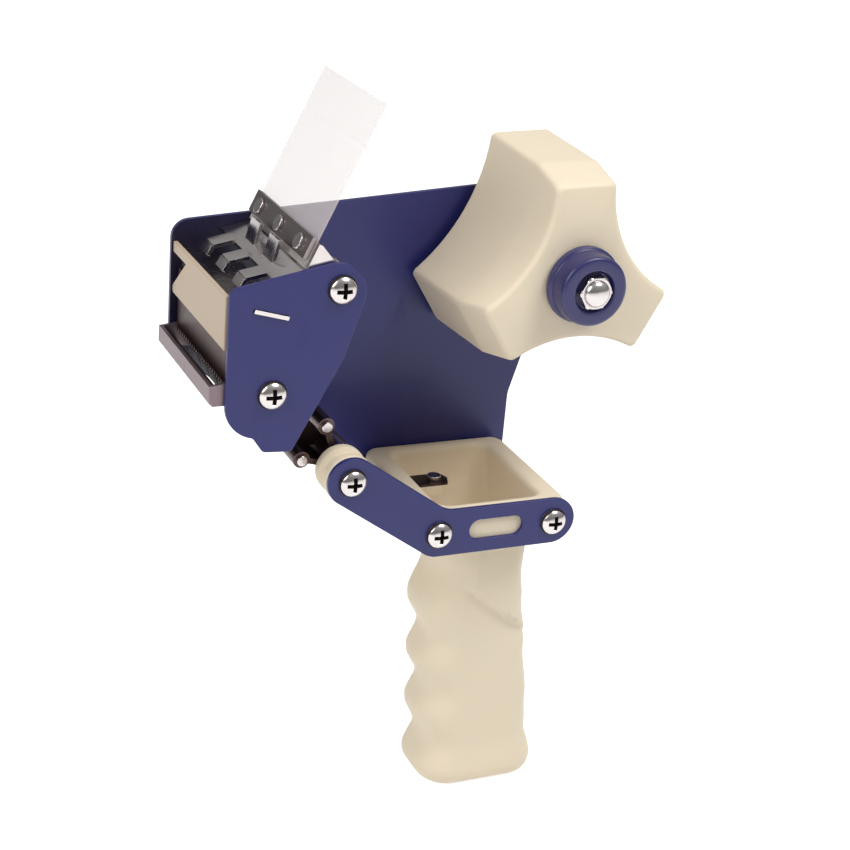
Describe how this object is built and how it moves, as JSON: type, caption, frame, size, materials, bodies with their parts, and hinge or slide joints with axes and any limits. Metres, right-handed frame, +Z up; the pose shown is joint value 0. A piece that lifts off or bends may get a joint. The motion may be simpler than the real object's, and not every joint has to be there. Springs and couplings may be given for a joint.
{
  "type": "tape dispenser",
  "caption": "Hand-held packing tape dispenser with a star hub, sprung tape gate with clear flap, toothed blade and open-topped pistol grip.",
  "frame": {"origin": "on the axis of the tape hub, half way between the two side plates", "axes": "+X from the cutting head towards the back, +Y from the open side to the side frame, +Z up along the grip"},
  "size_m": [0.1574, 0.069, 0.2476],
  "materials": {
    "blue_paint": "smooth satin enamel",
    "blue_plastic": "moulded, semi-gloss",
    "ivory_plastic": "moulded, fine satin",
    "chrome": "bright nickel plate",
    "zinc_steel": "plated sheet",
    "dark_steel": "oiled spring steel",
    "grey_rubber": "ground rubber",
    "clear_film": "clear flexible film",
    "fibre": "pressed fibre"
  },
  "bodies": {
    "frame": {"side_frame": "blue_paint", "head_plate": "blue_paint", "handle_bracket": "blue_paint", "handle": "ivory_plastic", "front_apron": "ivory_plastic", "pivot_bush": "ivory_plastic", "head_screws_near": "chrome", "head_screws_far": "chrome", "handle_screws_near": "chrome", "handle_screws_far": "chrome", "pivot_screw_near": "chrome", "pivot_screw_far": "chrome", "gate_axle": "zinc_steel", "press_axle": "zinc_steel", "pivot_axle": "zinc_steel", "hub_spindle": "zinc_steel", "brake_washer": "fibre", "hub_spring": "dark_steel", "gate_spring": "dark_steel", "guard_spring": "dark_steel", "guide_sheet": "chrome", "cutting_blade": "dark_steel", "blade_screws": "zinc_steel", "guide_collar_near": "zinc_steel", "guide_collar_far": "zinc_steel", "press_collar": "zinc_steel", "pivot_spacer": "zinc_steel", "leaf_spring": "dark_steel", "leaf_screw": "chrome"},
    "hub": {"tape_hub": "ivory_plastic"},
    "washer": {"thrust_washer": "zinc_steel"},
    "knob": {"brake_knob": "blue_plastic", "hub_nut": "chrome"},
    "press_roller": {"press_roller": "grey_rubber"},
    "guide_roller": {"guide_roller": "zinc_steel"},
    "guard": {"blade_guard": "zinc_steel"},
    "gate": {"tape_gate": "chrome", "wiper_flap": "clear_film", "flap_clamp": "zinc_steel", "flap_rivets": "chrome"},
    "lever": {"brake_lever": "dark_steel", "lever_pins": "chrome"}
  },
  "joints": [
    {"name": "hub_spin", "type": "hinge", "parent": "frame", "child": "hub", "pos_m": [0, 0, 0], "axis": [0, 1, 0], "continuous": true},
    {"name": "knob_travel", "type": "slide", "parent": "frame", "child": "washer", "axis": [0, -1, 0], "range_m": [0, 0.001]},
    {"name": "knob_turn", "type": "hinge", "parent": "washer", "child": "knob", "pos_m": [0, 0, 0], "axis": [0, -1, 0], "range_deg": [0, 360]},
    {"name": "press_spin", "type": "hinge", "parent": "frame", "child": "press_roller", "pos_m": [-0.1016, 0, -0.0275], "axis": [0, 1, 0], "continuous": true},
    {"name": "guide_spin", "type": "hinge", "parent": "frame", "child": "guide_roller", "pos_m": [-0.0815, 0, 0.004], "axis": [0, 1, 0], "continuous": true},
    {"name": "guard_swing", "type": "hinge", "parent": "frame", "child": "guard", "pos_m": [-0.1016, 0, -0.0275], "axis": [0, 1, 0], "range_deg": [0, 14], "stiffness_Nm_per_rad": 0.03, "springref_deg": -20.05},
    {"name": "gate_swing", "type": "hinge", "parent": "frame", "child": "gate", "pos_m": [-0.0815, 0, 0.004], "axis": [0, 1, 0], "range_deg": [0, 35], "stiffness_Nm_per_rad": 0.04, "springref_deg": -20.05},
    {"name": "lever_swing", "type": "hinge", "parent": "frame", "child": "lever", "pos_m": [-0.074, 0, -0.059], "axis": [0, 1, 0], "range_deg": [-10, 20], "stiffness_Nm_per_rad": 0.08}
  ],
  "couplings": [
    {"joint": "knob_travel", "follows": "knob_turn", "m_per_rad": 0.00015915}
  ]
}
